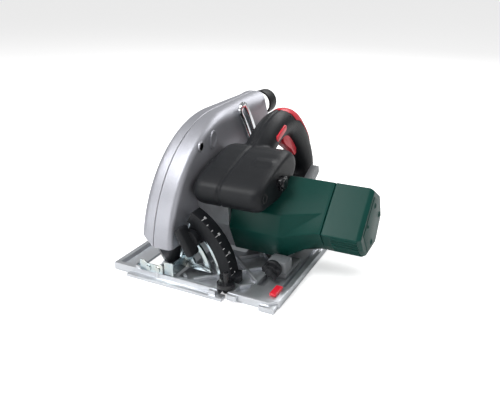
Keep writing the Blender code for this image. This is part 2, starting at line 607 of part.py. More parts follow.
def motor_parts():
    """Motor housing, end cap and what they hold."""
    body = loft("motor_housing", motor_sections(1.0), "green_plastic")
    hollow = [(x, about(MOTOR, section, 0.92)) for x, section in
              ((MOTOR_X[0] + 4, FRONT_SECTION), (MOTOR_TAPER_X[0] - 2, FRONT_SECTION),
                (MOTOR_TAPER_X[1] - 1, REAR_SECTION), (MOTOR_X[1] + 12, REAR_SECTION))]
    cut(body, loft("motor_hollow", hollow), rod("front_bearing_seat", "X", MOTOR, 11.2, 50, 70, sides=28),
        rod("spindle_rear_seat", "X", SPINDLE, 9.2, 50, 70, sides=28))
    end = [(CAP_X[0], REAR_SECTION), (192, REAR_SECTION), (CAP_X[1], about(MOTOR, REAR_SECTION, 0.9))]
    cap = loft("motor_end_cap", end, "green_plastic")
    cavity = [(CAP_X[0] - 5, about(MOTOR, REAR_SECTION, 0.90)), (190, about(MOTOR, REAR_SECTION, 0.90)),
              (196, about(MOTOR, REAR_SECTION, 0.8))]
    cut(cap, loft("cap_hollow", cavity))
    for k in range(6):
        z = 27 + 3.6 * k
        cut(cap, box(f"cap_louvre_{k}", (166, -90, z), (190, -36, z + 1.6)))
    ring("stator", MOTOR, 26.2, 19.2, 86, 122, "steel")
    ring("front_armature_bearing", MOTOR, 10.9, 4.4, 60.2, 67, "steel")
    ring("rear_armature_bearing", MOTOR, 10.9, 4.4, 168, 175, "steel")
    ring("spindle_bearing", SPINDLE, 12.9, 7.2, 22.6, 29.6, "steel")
    ring("spindle_rear_bearing", SPINDLE, 8.9, 7.2, 60.2, 64, "steel", 28)
    for name, side in (("front_brush", -1), ("rear_brush", 1)):
        y = sorted((MOTOR[0] + side * 13.2, MOTOR[0] + side * 24))
        box(name, (145, y[0], MOTOR[1] - 3), (151, y[1], MOTOR[1] + 3), "carbon")


def handle_parts():
    """Two black handle halves that join on the plane X = HANDLE_X, with the red grip overlay."""
    line = smooth_line(HANDLE_LINE, 3)
    path = [(HANDLE_X, y, z) for y, z in line]
    halves = {"handle_left_half": (20, HANDLE_X - 0.15), "handle_right_half": (HANDLE_X + 0.15, 120)}
    stripe = [(HANDLE_X, y, z) for y, z in offset_line(line, 10.0)]
    groove = tube("overlay_groove", stripe[8:21], 9.3, None, 3)
    tube("grip_overlay", stripe[9:20], 9.0, "red_plastic", 3)
    motor_space = loft("motor_space", [(40, about(MOTOR, FRONT_SECTION, 1.012))]
                       + motor_sections(1.012)[1:])
    neck_space = plate("neck_space", "X", [about((-12, 48), NECK, 1.012)], 10, 60.5)
    trigger_space = plate("trigger_space", "X", [TRIGGER_SPACE], HANDLE_X - 7.5, HANDLE_X + 7.5)
    switch_space = box("switch_space", (50.5, 17.5, 116.5), (65.3, 38.5, 127.5))
    button_space = lock_button("button_space", 4.3, 66)
    socket = rod("gland_socket", "Y", GLAND, 10, 122, 147, sides=28)
    socket_hole = rod("gland_hole", "Y", GLAND, 6.8, 134, 160, sides=24)
    bolt_space = rod("clamp_bolt_space", "X", clamp_bolt_centre(), 5.0, 20, 120, sides=24)
    for name, (low, high) in halves.items():
        half = tube(name, path, GRIP_R, "black_plastic", 3)
        barrel = loft(name + "_barrel", [(x, about(BARREL_C, BARREL, k)) for x, k in
                                         BARREL_SCALES])
        keep = box(name + "_keep", (low, -200, -20), (high, 300, 300))
        join(half, barrel, socket)
        boolean(half, keep, "INTERSECT")
        cut(half, motor_space, neck_space, groove, trigger_space, switch_space, button_space, bolt_space,
            socket_hole)
    plate("trigger", "X", [TRIGGER], HANDLE_X - 6.5, HANDLE_X + 6.5, "red_plastic")
    box("switch", (51, 18, 117), (64.8, 38, 127), "black_plastic", 0.8, 1)
    lock_button("lock_off_button", 3.9, 69, "red_plastic")
    gland = rod("cable_gland", "Y", GLAND, 6.5, 135, 158, "black_plastic", 24, tip=5.4)
    cut(gland, rod("gland_bore", "Y", GLAND, 3.6, 130, 165, sides=20))
    lobes = rod("spindle_lock_lever", "X", LOCK_CENTRE, 6, 106.5, 114, "black_plastic", 24)
    for k in range(3):
        place = arc(LOCK_CENTRE, 6, 30 + 120 * k, 0, 1)[0]
        join(lobes, rod(f"lock_lobe_{k}", "X", place, 3.2, 106.5, 112, sides=16))
    depth_clamp()


def depth_clamp():
    """Clamp bolt through the depth strip's slot, with its lever behind the motor."""
    centre = clamp_bolt_centre()
    bolt = rod("depth_clamp_bolt", "X", centre, 3.2, 15.6, 92, "steel", 20)
    join(bolt, rod("depth_bolt_head", "X", centre, 6, 15.4, 18.6, sides=6),
         rod("depth_bolt_collar", "X", centre, 6.5, STRIP_X[1] + GAP, 33, sides=20))
    lever = rod("depth_lock_lever", "X", centre, 8.5, 78.5, 92, "grey_plastic", 28)
    arm = plate("lever_arm", "X", [[(centre[0] - 6, centre[1] + 5), (centre[0] + 6, centre[1] - 5),
                                    (centre[0] + 48, centre[1] + 17), (centre[0] + 46, centre[1] + 26)]],
                80, 91)
    join(lever, arm)
    cut(lever, rod("lever_bore", "X", centre, 3.5, 70, 100, sides=20))


def clamp_bolt_centre():
    """Where the depth clamp bolt crosses the depth strip."""
    return arc(DEPTH_PIVOT, STRIP_R, 1.8, 1.8, 1)[0]


def lock_button(name, radius, start, look=None):
    """Oval button that crosses the handle along X."""
    low, high = Vector((19, 127)), Vector((39, 134.5))
    across = (high - low).normalized()
    turn = math.degrees(math.atan2(across.y, across.x))
    outline = arc(high, radius, turn - 90, turn + 90, 8) + arc(low, radius, turn + 90, turn + 270, 8)
    return plate(name, "X", [outline], start, 77.5 if look else 82, look)


def joint_origins():
    """Where the origin of each moving part lies: on its joint's axis."""
    clamp = arc(BEVEL_AXIS, QUADRANT_SLOT_R, CLAMP_ANGLE, CLAMP_ANGLE, 1)[0]
    tilt = (BEVEL_AXIS[0], 0, BEVEL_AXIS[1])
    spin = (0, *SPINDLE)
    core = (0, *MOTOR)
    depth = (0, *DEPTH_PIVOT)
    groups = {
        tilt: ("quadrant_plate", "depth_pivot_pin", "rear_bevel_plate", "depth_strip"),
        depth: ("guard_housing", "guard_cover", "gear_case", "motor_housing", "motor_end_cap",
                "handle_left_half", "handle_right_half"),
        spin: ("saw_blade", "spindle", "inner_flange", "outer_flange", "blade_bolt", "gear_wheel",
               "lower_guard"),
        core: ("armature_shaft", "rotor_core", "commutator", "cooling_fan"),
        (clamp[0], 0, clamp[1]): ("bevel_wing_knob", "bevel_clamp_bolt"),
        (FENCE_SCREW[0], 0, FENCE_SCREW[1]): ("fence_clamp_knob",),
        (HANDLE_X, *TRIGGER_PIVOT): ("trigger",),
        (0, *clamp_bolt_centre()): ("depth_lock_lever", "depth_clamp_bolt"),
        (PORT_AXIS[0], 0, PORT_AXIS[1]): ("chip_port",),
        (0, *LOCK_CENTRE): ("spindle_lock_lever",),
    }
    return groups


def place_parts():
    """Put origins on the joint axes and hang everything on the frame's empty."""
    for point, names in joint_origins().items():
        shift = Vector(point) * MM
        for name in names:
            item = bpy.data.objects[name]
            item.data.transform(Matrix.Translation(-shift))
            item.location = shift
    frame = bpy.data.objects.new("saw_frame", None)
    bpy.context.scene.collection.objects.link(frame)
    frame.location = (0, -BASE_Y[0] * MM, 0)
    for item in list(PARTS.objects) + list(CUTTERS.objects):
        item.parent = frame


def main():
    """Build the whole saw."""
    reset_scene()
    base_parts()
    bevel_frame_parts()
    module, line = spindle_parts()
    armature_parts(module, line)
    upper_guard()
    lower_guard()
    chip_port()
    gear_case()
    motor_parts()
    handle_parts()
    place_parts()


main()
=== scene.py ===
"""Circular saw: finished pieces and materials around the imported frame.

Pieces are drawn in millimetres in the saw's own axes, with y = 0 at the blade's axis and
z = 0 at the sole.  TO_FRAME turns them into metres and moves them to the frame's origin.
"""
import json
import math

import bmesh
import bpy
from mathutils import Matrix, Vector

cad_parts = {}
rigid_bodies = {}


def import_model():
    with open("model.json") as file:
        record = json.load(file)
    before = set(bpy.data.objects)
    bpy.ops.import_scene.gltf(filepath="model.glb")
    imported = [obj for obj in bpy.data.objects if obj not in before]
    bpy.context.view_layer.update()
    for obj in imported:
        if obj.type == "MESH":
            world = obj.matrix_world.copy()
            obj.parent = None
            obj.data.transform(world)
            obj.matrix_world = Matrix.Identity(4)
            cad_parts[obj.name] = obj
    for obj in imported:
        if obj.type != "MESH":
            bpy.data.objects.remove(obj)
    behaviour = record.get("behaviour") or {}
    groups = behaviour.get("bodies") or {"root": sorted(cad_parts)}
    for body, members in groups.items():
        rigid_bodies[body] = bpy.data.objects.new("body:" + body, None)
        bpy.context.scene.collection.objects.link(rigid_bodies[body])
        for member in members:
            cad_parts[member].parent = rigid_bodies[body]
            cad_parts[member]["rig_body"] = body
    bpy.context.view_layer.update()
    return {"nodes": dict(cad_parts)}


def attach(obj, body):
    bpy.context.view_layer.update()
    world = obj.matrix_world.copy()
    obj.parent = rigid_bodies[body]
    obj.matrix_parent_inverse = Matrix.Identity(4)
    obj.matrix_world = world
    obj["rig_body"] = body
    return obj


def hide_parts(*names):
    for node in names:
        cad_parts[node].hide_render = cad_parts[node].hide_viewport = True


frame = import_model()

MM = 0.001
BLADE_AXIS_Y = 130.0                       # the blade's axis behind the sole's front edge
TO_FRAME = Matrix.Translation((0, BLADE_AXIS_Y * MM, 0)) @ Matrix.Scale(MM, 4)


# Shader groups -----------------------------------------------------------------------------
def new_group(name, inputs, outputs):
    """An empty shader node group with named inputs (name, type, default) and outputs."""
    group = bpy.data.node_groups.new(name, "ShaderNodeTree")
    for label, kind, value in inputs:
        socket = group.interface.new_socket(label, in_out="INPUT", socket_type=kind)
        socket.default_value = value
    for label, kind in outputs:
        group.interface.new_socket(label, in_out="OUTPUT", socket_type=kind)
    return group, group.nodes.new("NodeGroupInput").outputs, group.nodes.new("NodeGroupOutput").inputs


def node(tree, kind, links=(), **settings):
    """A node with its settings, and links given as (input, source socket or value)."""
    made = tree.nodes.new(kind)
    for key, value in settings.items():
        setattr(made, key, value)
    for place, source in links:
        if isinstance(source, bpy.types.NodeSocket):
            tree.links.new(source, made.inputs[place])
        else:
            made.inputs[place].default_value = source
    return made


def surface_grain_group():
    """Uneven tint, uneven gloss and a fine moulded or cast texture."""
    group, given, out = new_group(
        "surface_grain",
        [("Color", "NodeSocketColor", (0.5, 0.5, 0.5, 1)), ("Tint Spread", "NodeSocketFloat", 0.1),
         ("Patch Scale", "NodeSocketFloat", 30.0), ("Roughness", "NodeSocketFloat", 0.4),
         ("Gloss Spread", "NodeSocketFloat", 0.1), ("Grain Scale", "NodeSocketFloat", 1500.0),
         ("Grain Depth", "NodeSocketFloat", 0.1), ("Speckle", "NodeSocketFloat", 0.0)],
        [("Color", "NodeSocketColor"), ("Roughness", "NodeSocketFloat"), ("Normal", "NodeSocketVector")])
    place = node(group, "ShaderNodeTexCoord").outputs["Object"]
    patch = node(group, "ShaderNodeTexNoise", [("Vector", place), ("Scale", given["Patch Scale"]),
                                               ("Detail", 5.0), ("Roughness", 0.6)])
    grain = node(group, "ShaderNodeTexNoise", [("Vector", place), ("Scale", given["Grain Scale"]),
                                               ("Detail", 2.0)])
    centred = node(group, "ShaderNodeMath", [(0, patch.outputs["Fac"]), (1, 0.5)], operation="SUBTRACT")
    tint = node(group, "ShaderNodeMath", [(0, centred.outputs[0]), (1, given["Tint Spread"]), (2, 1.0)],
                operation="MULTIPLY_ADD")
    fleck = node(group, "ShaderNodeMath", [(0, grain.outputs["Fac"]), (1, 0.5)], operation="SUBTRACT")
    fleck = node(group, "ShaderNodeMath", [(0, fleck.outputs[0]), (1, given["Speckle"]),
                                           (2, tint.outputs[0])],
                 operation="MULTIPLY_ADD")
    shade = node(group, "ShaderNodeVectorMath", [(0, given["Color"]), (1, fleck.outputs[0])],
                 operation="MULTIPLY")
    gloss = node(group, "ShaderNodeMath", [(0, centred.outputs[0]), (1, given["Gloss Spread"]),
                                           (2, given["Roughness"])],
                 operation="MULTIPLY_ADD", use_clamp=True)
    bump = node(group, "ShaderNodeBump", [("Strength", given["Grain Depth"]), ("Distance", 0.0004),
                                          ("Height", grain.outputs["Fac"])])
    group.links.new(shade.outputs[0], out["Color"])
    group.links.new(gloss.outputs[0], out["Roughness"])
    group.links.new(bump.outputs[0], out["Normal"])
    return group


def edge_wear_and_highlight_group():
    """A lighter tint along edges and corners: partly rubbed wear, partly a painted edge highlight."""
    group, given, out = new_group(
        "edge_wear_and_highlight",
        [("Color", "NodeSocketColor", (0.5, 0.5, 0.5, 1)),
         ("Worn Highlight Color", "NodeSocketColor", (0.8, 0.8, 0.8, 1)),
         ("Amount", "NodeSocketFloat", 0.5), ("Width", "NodeSocketFloat", 0.001)],
        [("Color", "NodeSocketColor"), ("Mask", "NodeSocketFloat")])
    place = node(group, "ShaderNodeTexCoord").outputs["Object"]
    # the Bevel node finds the edges; the lighter colour put there is partly wear and partly a painted edge
    # highlight
    rounded = node(group, "ShaderNodeBevel", [("Radius", given["Width"])], samples=4)
    true_normal = node(group, "ShaderNodeNewGeometry").outputs["Normal"]
    turned = node(group, "ShaderNodeVectorMath", [(0, rounded.outputs[0]), (1, true_normal)],
                  operation="DOT_PRODUCT")
    edge = node(group, "ShaderNodeMapRange", [("Value", turned.outputs["Value"]), ("From Min", 0.995),
                                              ("From Max", 0.86), ("To Min", 0.0), ("To Max", 1.0)])
    patches = node(group, "ShaderNodeTexNoise", [("Vector", place), ("Scale", 160.0), ("Detail", 4.0)])
    patchy = node(group, "ShaderNodeMapRange", [("Value", patches.outputs["Fac"]), ("From Min", 0.38),
                                                ("From Max", 0.62), ("To Min", 0.25), ("To Max", 1.0)])
    mask = node(group, "ShaderNodeMath", [(0, edge.outputs[0]), (1, patchy.outputs[0])],
                operation="MULTIPLY")
    mask = node(group, "ShaderNodeMath", [(0, mask.outputs[0]), (1, given["Amount"])], operation="MULTIPLY",
                use_clamp=True)
    mixed = node(group, "ShaderNodeMix", [(0, mask.outputs[0]), (6, given["Color"]),
                                          (7, given["Worn Highlight Color"])],
                 data_type="RGBA")
    group.links.new(mixed.outputs[2], out["Color"])
    group.links.new(mask.outputs[0], out["Mask"])
    return group


def fine_lines_group():
    """Fine directional lines left by rolling, brushing or grinding."""
    group, given, out = new_group(
        "fine_lines",
        [("Stretch", "NodeSocketVector", (1.0, 1.0, 1.0)), ("Scale", "NodeSocketFloat", 200.0),
         ("Depth", "NodeSocketFloat", 0.1), ("Normal", "NodeSocketVector", (0, 0, 0))],
        [("Lines", "NodeSocketFloat"), ("Normal", "NodeSocketVector")])
    place = node(group, "ShaderNodeTexCoord").outputs["Object"]
    drawn = node(group, "ShaderNodeVectorMath", [(0, place), (1, given["Stretch"])], operation="MULTIPLY")
    lines = node(group, "ShaderNodeTexNoise", [("Vector", drawn.outputs[0]), ("Scale", given["Scale"]),
                                               ("Detail", 3.0)])
    bump = node(group, "ShaderNodeBump", [("Strength", given["Depth"]), ("Distance", 0.0003),
                                          ("Height", lines.outputs["Fac"]), ("Normal", given["Normal"])])
    group.links.new(lines.outputs["Fac"], out["Lines"])
    group.links.new(bump.outputs[0], out["Normal"])
    return group


GRAIN = surface_grain_group()
WEAR_AND_HIGHLIGHT = edge_wear_and_highlight_group()
LINES = fine_lines_group()


def finish(name, colour, rough, metal=0.0, tint=0.12, patch=30.0, gloss=0.15, grain=1500.0, depth=0.15,
           speckle=0.0, worn_highlight=None, wear_highlight=0.0, width=0.0008, lines=None, second=None):
    """A Principled material from the shared groups.

    lines is (stretch, scale, depth) for brushed metal; second is a colour that drifts over the first.
    """
    material = bpy.data.materials.new(name)
    material.use_nodes = True
    tree = material.node_tree
    shader = tree.nodes["Principled BSDF"]
    base = (*colour, 1.0)
    grainy = node(tree, "ShaderNodeGroup", node_tree=GRAIN)
    for label, value in (("Color", base), ("Tint Spread", tint), ("Patch Scale", patch),
                         ("Roughness", rough),
                         ("Gloss Spread", gloss), ("Grain Scale", grain), ("Grain Depth", depth),
                         ("Speckle", speckle)):
        grainy.inputs[label].default_value = value
    if second:
        place = node(tree, "ShaderNodeTexCoord").outputs["Object"]
        drift = node(tree, "ShaderNodeTexNoise", [("Vector", place), ("Scale", 38.0), ("Detail", 3.0)])
        amount = node(tree, "ShaderNodeMapRange", [("Value", drift.outputs["Fac"]), ("From Min", 0.42),
                                                   ("From Max", 0.66)])
        blend = node(tree, "ShaderNodeMix", [(0, amount.outputs[0]), (6, base), (7, (*second, 1.0))],
                     data_type="RGBA")
        tree.links.new(blend.outputs[2], grainy.inputs["Color"])
    colour_out, normal_out = grainy.outputs["Color"], grainy.outputs["Normal"]
    # lighten the edges: partly wear, partly a painted edge highlight
    if worn_highlight:
        wearing_highlight = node(tree, "ShaderNodeGroup", [("Color", colour_out)], node_tree=WEAR_AND_HIGHLIGHT)
        wearing_highlight.inputs["Worn Highlight Color"].default_value = (*worn_highlight, 1.0)
        wearing_highlight.inputs["Amount"].default_value = wear_highlight
        wearing_highlight.inputs["Width"].default_value = width
        colour_out = wearing_highlight.outputs["Color"]
    if lines:
        lined = node(tree, "ShaderNodeGroup", [("Normal", normal_out)], node_tree=LINES)
        lined.inputs["Stretch"].default_value = lines[0]
        lined.inputs["Scale"].default_value = lines[1]
        lined.inputs["Depth"].default_value = lines[2]
        normal_out = lined.outputs["Normal"]
    tree.links.new(colour_out, shader.inputs["Base Color"])
    tree.links.new(grainy.outputs["Roughness"], shader.inputs["Roughness"])
    tree.links.new(normal_out, shader.inputs["Normal"])
    shader.inputs["Metallic"].default_value = metal
    return material


# the worn colours below are lighter edge tints: partly wear, partly a painted edge highlight
LOOKS = {
    "guard_paint": finish("guard_paint", (0.36, 0.365, 0.40), 0.46, 0.62, 0.10, 22, 0.10, 1600, 0.22,
                          speckle=0.35, worn_highlight=(0.80, 0.80, 0.82), wear_highlight=0.5),
    "cast_aluminium": finish("cast_aluminium", (0.62, 0.64, 0.67), 0.38, 0.85, 0.22, 34, 0.22, 1100, 0.30,
                             speckle=0.25, worn_highlight=(0.85, 0.88, 0.92), wear_highlight=0.8, width=0.0012),
    "case_aluminium": finish("case_aluminium", (0.55, 0.56, 0.58), 0.42, 0.85, 0.12, 28, 0.12, 1300, 0.25,
                             speckle=0.2, worn_highlight=(0.85, 0.86, 0.88), wear_highlight=0.7),
    "zinc": finish("zinc", (0.50, 0.60, 0.64), 0.20, 1.0, 0.15, 60, 0.16, 900, 0.06,
                   second=(0.66, 0.64, 0.56), worn_highlight=(0.9, 0.93, 0.95), wear_highlight=0.6,
                   lines=((1.0, 0.06, 1.0), 500, 0.06)),
    "chrome": finish("chrome", (0.78, 0.80, 0.82), 0.10, 1.0, 0.05, 50, 0.08, 700, 0.03,
                     lines=((0.08, 1.0, 1.0), 350, 0.03)),
    "steel": finish("steel", (0.56, 0.57, 0.59), 0.26, 1.0, 0.14, 70, 0.15, 800, 0.08,
                    lines=((0.05, 1.0, 1.0), 500, 0.10)),
    "blade_steel": finish("blade_steel", (0.62, 0.63, 0.65), 0.24, 1.0, 0.12, 40, 0.14, 700, 0.05,
                          lines=((1.0, 0.10, 1.0), 260, 0.12)),
    "guard_metal": finish("guard_metal", (0.58, 0.62, 0.65), 0.5, 0.35, 0.15, 60, 0.16, 900, 0.10,
                          worn_highlight=(0.8, 0.83, 0.85), wear_highlight=0.5),
    "black_plastic": finish("black_plastic", (0.010, 0.011, 0.013), 0.46, 0.0, 0.35, 26, 0.14, 1700, 0.32,
                            speckle=0.3, worn_highlight=(0.05, 0.052, 0.056), wear_highlight=0.6),
    "black_gloss": finish("black_gloss", (0.010, 0.010, 0.012), 0.26, 0.0, 0.3, 30, 0.10, 900, 0.08,
                          worn_highlight=(0.05, 0.05, 0.055), wear_highlight=0.5),
    "green_plastic": finish("green_plastic", (0.0036, 0.045, 0.036), 0.40, 0.0, 0.16, 20, 0.10, 1500, 0.16,
                            speckle=0.12, worn_highlight=(0.020, 0.110, 0.095), wear_highlight=0.7),
    "red_plastic": finish("red_plastic", (0.66, 0.012, 0.030), 0.34, 0.0, 0.10, 40, 0.10, 1500, 0.15,
                          worn_highlight=(0.80, 0.09, 0.12), wear_highlight=0.4),
    "grey_plastic": finish("grey_plastic", (0.16, 0.17, 0.18), 0.42, 0.0, 0.20, 30, 0.12, 1400, 0.22,
                           worn_highlight=(0.30, 0.31, 0.32), wear_highlight=0.5),
    "copper": finish("copper", (0.75, 0.32, 0.16), 0.30, 1.0, 0.2, 90, 0.15, 900, 0.1,
                     lines=((0.06, 1.0, 1.0), 900, 0.2)),
    "carbon": finish("carbon", (0.02, 0.02, 0.02), 0.6, 0.0, 0.3, 100, 0.1, 2000, 0.3),
    "laminations": finish("laminations", (0.20, 0.20, 0.21), 0.4, 0.9, 0.2, 60, 0.15, 800, 0.1,
                          lines=((1.0, 0.02, 0.02), 2200, 0.6)),
    # near black for holes and notches: painted shade inside them
    "painted_shade_recess": finish("painted_shade_recess", (0.004, 0.004, 0.005), 0.6, 0.0, 0.2, 40, 0.1, 900, 0.1),
    "white_marks": finish("white_marks", (0.86, 0.87, 0.88), 0.45, 0.0, 0.06, 90, 0.1, 900, 0.05),
}


# Shape helpers -----------------------------------------------------------------------------
def arc(centre, radius, start, end, steps):
    """Points on a circle's arc, with angles in degrees from the first axis."""
    turns = [math.radians(start + (end - start) * k / steps) for k in range(steps + 1)]
    return [(centre[0] + radius * math.cos(t), centre[1] + radius * math.sin(t)) for t in turns]


def spread(axis, u, v, height):
    """A point from its place in a drawing plane across axis, at a height along it."""
    return Vector({"x": (height, u, v), "y": (u, height, v), "z": (u, v, height)}[axis])


def outline_ring(bm, axis, points, height):
    """A closed loop of edges through points drawn across axis."""
    verts = [bm.verts.new(spread(axis, u, v, height)) for u, v in points]
    return [bm.edges.new((a, b)) for a, b in zip(verts, verts[1:] + verts[:1])]


SLAB_CORNER, CAD_CORNER, FACET_CORNER = 25, 30, 7     # degrees past which an edge is rounded


def hard_edges(edges, limit):
    """Edges whose faces meet at more than limit degrees."""
    return [e for e in edges if e.is_manifold and e.calc_face_angle(0) > math.radians(limit)]


def slab(bm, axis, points, start, end, rim=0.0):
    """A flat solid with a drawn outline, its rims rounded by rim."""
    edges = outline_ring(bm, axis, points, start)
    face = bmesh.ops.contextual_create(bm, geom=edges)["faces"][0]
    made = bmesh.ops.extrude_face_region(bm, geom=[face])["geom"]
    top = [g for g in made if isinstance(g, bmesh.types.BMVert)]
    bmesh.ops.translate(bm, verts=top, vec=spread(axis, 0, 0, end - start))
    verts = set(top) | {v for e in edges for v in e.verts}
    faces = {f for v in verts for f in v.link_faces}
    bmesh.ops.recalc_face_normals(bm, faces=list(faces))
    if rim:
        around = {e for f in faces for e in f.edges}
        soften(bm, hard_edges(around, SLAB_CORNER), rim)


def block(bm, low, high, rim=0.0, steps=2, turn=None):
    """A solid between two corners with rounded edges, turned about its centre."""
    made = bmesh.ops.create_cube(bm, size=1.0)["verts"]
    size = Vector(high) - Vector(low)
    place = Matrix.Translation((Vector(high) + Vector(low)) / 2) @ (turn or Matrix()).to_4x4()
    bmesh.ops.transform(bm, matrix=place @ Matrix.Diagonal((*size, 1)), verts=made)
    if rim:
        soften(bm, list({e for v in made for e in v.link_edges}), rim, steps)


def soften(bm, edges, width, steps=2):
    """Round some edges."""
    bmesh.ops.bevel(bm, geom=edges, offset=width, offset_type="OFFSET", affect="EDGES", segments=steps,
                    profile=0.5, material=-1, clamp_overlap=True)


def turned(bm, axis, centre, profile, sides=40):
    """A round part spun from (distance along axis, radius) points."""
    place = {"x": (Vector((0, 1, 0)), Vector((1, 0, 0))), "y": (Vector((0, 0, 1)), Vector((0, 1, 0))),
             "z": (Vector((1, 0, 0)), Vector((0, 0, 1)))}[axis]
    middle = spread(axis, *centre, 0)
    verts = [bm.verts.new(middle + place[1] * a + place[0] * r) for a, r in profile]
    edges = [bm.edges.new(pair) for pair in zip(verts, verts[1:])]
    bmesh.ops.spin(bm, geom=verts + edges, cent=middle, axis=place[1], angle=math.tau, steps=sides,
                   use_merge=True, use_duplicate=False)


TUBE_SIDES = 32


def tube_through(bm, stations):
    """A skin over rings given as (centre, radius across, radius up, direction)."""
    rings = []
    for centre, across, up, direction in stations:
        frame_at = direction.to_track_quat("Z", "X").to_matrix().to_4x4()
        place = Matrix.Translation(centre) @ frame_at @ Matrix.Diagonal((up, across, 1, 1))
        ring = bmesh.ops.create_circle(bm, cap_ends=False, radius=1.0, segments=TUBE_SIDES,
                                       matrix=place)["verts"]
        rings.append(list({e for v in ring for e in v.link_edges}))
    for first, second in zip(rings, rings[1:]):
        bmesh.ops.bridge_loops(bm, edges=first + second)
    for ring in (rings[0], rings[-1]):
        bmesh.ops.contextual_create(bm, geom=ring)


def smooth_path(points, steps):
    """Catmull-Rom points through 2-D points."""
    path = []
    ends = [points[0]] + list(points) + [points[-1]]
    for a, b, c, d in zip(ends, ends[1:], ends[2:], ends[3:]):
        for k in range(steps):
            t = k / steps
            path.append(tuple(
                0.5 * (2 * q + (r - p) * t + (2 * p - 5 * q + 4 * r - s) * t * t
                       + (3 * q - p - 3 * r + s) * t ** 3) for p, q, r, s in zip(a, b, c, d)))
    path.append(tuple(points[-1]))
    return path


def piece(name, bm, look, body, stands_for=(), sharp=38, in_frame=False, recalc=True):
    """Turn a bmesh into a finished piece that rides on a body."""
    bmesh.ops.remove_doubles(bm, verts=bm.verts, dist=1e-6 if in_frame else 1e-3)
    if recalc:
        bmesh.ops.recalc_face_normals(bm, faces=bm.faces)
    if not in_frame:
        bm.transform(TO_FRAME)
    for face in bm.faces:
        face.smooth = True
    for edge in bm.edges:
        edge.smooth = not edge.is_manifold or edge.calc_face_angle(0) < math.radians(sharp)
    mesh = bpy.data.meshes.new(name)
    bm.to_mesh(mesh)
    bm.free()
    dress(name, mesh, look, body, stands_for)


def dress(name, mesh, look, body, stands_for=()):
    """Link a finished mesh, give it its material and its place in the frame."""
    made = bpy.data.objects.new(name, mesh)
    bpy.context.scene.collection.objects.link(made)
    mesh.materials.clear()
    mesh.materials.append(LOOKS[look])
    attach(made, body)
    if stands_for:
        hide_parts(*stands_for)


def softened(name, look, width, limit, sharp):
    """A copy of a CAD node with rounded edges, standing for it."""
    bm = bmesh.new()
    bm.from_mesh(frame["nodes"][name].data)
    bmesh.ops.remove_doubles(bm, verts=bm.verts, dist=2e-6)
    bmesh.ops.dissolve_limit(bm, angle_limit=math.radians(0.6), verts=bm.verts, edges=bm.edges)
    soften(bm, hard_edges(bm.edges, limit), width * MM)
    piece(name + "_shape", bm, look, frame["nodes"][name]["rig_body"], [name], sharp=sharp, in_frame=True,
          recalc=False)


# Carried-over nodes ------------------------------------------------------------------------
DULL = {"black_plastic": 0.22, "green_plastic": 0.16}
for look, level in DULL.items():
    LOOKS[look].node_tree.nodes["Principled BSDF"].inputs["Specular IOR Level"].default_value = level

NODE_LOOKS = {
    "base_plate": "cast_aluminium", "bevel_scale_arc": "black_plastic", "scale_foot_screw": "black_gloss",
    "left_stop_screw": "zinc", "right_stop_screw": "zinc", "fence_clamp_housing": "grey_plastic",
    "guide_lock_insert": "red_plastic", "rear_bevel_post": "zinc", "fence_clamp_knob": "black_plastic",
    "bevel_wing_knob": "black_plastic", "bevel_clamp_bolt": "steel", "quadrant_plate": "zinc",
    "depth_pivot_pin": "chrome", "rear_bevel_plate": "zinc", "depth_strip": "chrome",
    "guard_housing": "guard_paint", "guard_cover": "guard_paint", "gear_case": "case_aluminium",
    "motor_housing": "green_plastic", "motor_end_cap": "green_plastic", "handle_left_half": "black_plastic",
    "handle_right_half": "black_plastic", "grip_overlay": "red_plastic", "switch": "black_gloss",
    "cable_gland": "black_gloss", "stator": "laminations", "front_brush": "carbon", "rear_brush": "carbon",
    "front_armature_bearing": "steel", "rear_armature_bearing": "steel", "spindle_bearing": "steel",
    "spindle_rear_bearing": "steel", "guard_return_spring": "steel", "spindle": "steel",
    "gear_wheel": "steel", "inner_flange": "steel", "outer_flange": "steel",
    "blade_bolt": "black_gloss", "saw_blade": "blade_steel",
    "armature_shaft": "steel", "rotor_core": "laminations", "commutator": "copper",
    "cooling_fan": "black_plastic",
    "lower_guard": "guard_metal", "trigger": "red_plastic", "lock_off_button": "red_plastic",
    "spindle_lock_lever": "black_gloss", "depth_lock_lever": "grey_plastic", "depth_clamp_bolt": "steel",
    "chip_port": "black_plastic",
}
for name, look in NODE_LOOKS.items():
    carried = frame["nodes"][name]
    if not carried.material_slots:
        carried.data.materials.append(LOOKS[look])
    for holder in carried.material_slots:
        holder.material = LOOKS[look]

SOFTENED = {
    "base_plate": 0.6, "bevel_scale_arc": 0.5, "scale_foot_screw": 0.5, "left_stop_screw": 0.3,
    "right_stop_screw": 0.3, "fence_clamp_housing": 0.6, "fence_clamp_knob": 0.8,
    "bevel_wing_knob": 0.9, "quadrant_plate": 0.5, "rear_bevel_plate": 0.4, "rear_bevel_post": 0.5,
    "depth_strip": 0.7, "gear_case": 1.6,
    "trigger": 1.4, "lock_off_button": 0.8, "spindle_lock_lever": 0.8, "depth_lock_lever": 1.0,
    "chip_port": 0.5, "lower_guard": 0.4, "depth_pivot_pin": 0.5, "cable_gland": 0.5,
}
FACETED, FACETED_LIMIT = ("gear_case",), 10
for name, width in SOFTENED.items():
    limit = FACETED_LIMIT if name in FACETED else CAD_CORNER
    softened(name, NODE_LOOKS[name], width, limit=limit, sharp=limit)


